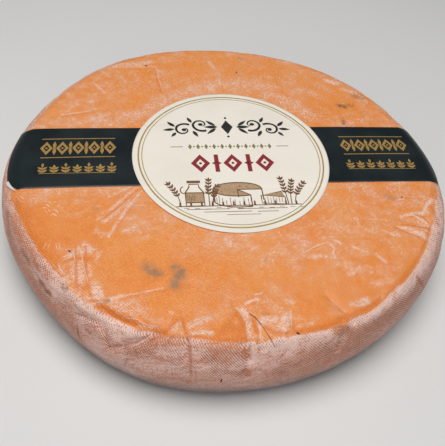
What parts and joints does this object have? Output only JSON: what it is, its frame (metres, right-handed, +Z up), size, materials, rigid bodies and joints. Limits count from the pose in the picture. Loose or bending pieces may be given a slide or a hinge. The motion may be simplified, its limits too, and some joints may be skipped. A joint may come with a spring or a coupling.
{
  "type": "raclette cheese wheel",
  "caption": "Whole round wheel of raclette cheese with an orange washed rind, a dark paper band across the top and a round paper label.",
  "frame": {"origin": "on the underside, at the middle of the box round the whole object", "axes": "+X along the paper band, +Y towards the top of the label, +Z up"},
  "size_m": [0.3409, 0.32, 0.0669],
  "materials": {
    "rind": "satin",
    "band_paper": "satin",
    "label_paper": "matt"
  },
  "bodies": {
    "root": {"cheese": "rind", "paper_band": "band_paper", "paper_label": "label_paper"}
  },
  "joints": []
}
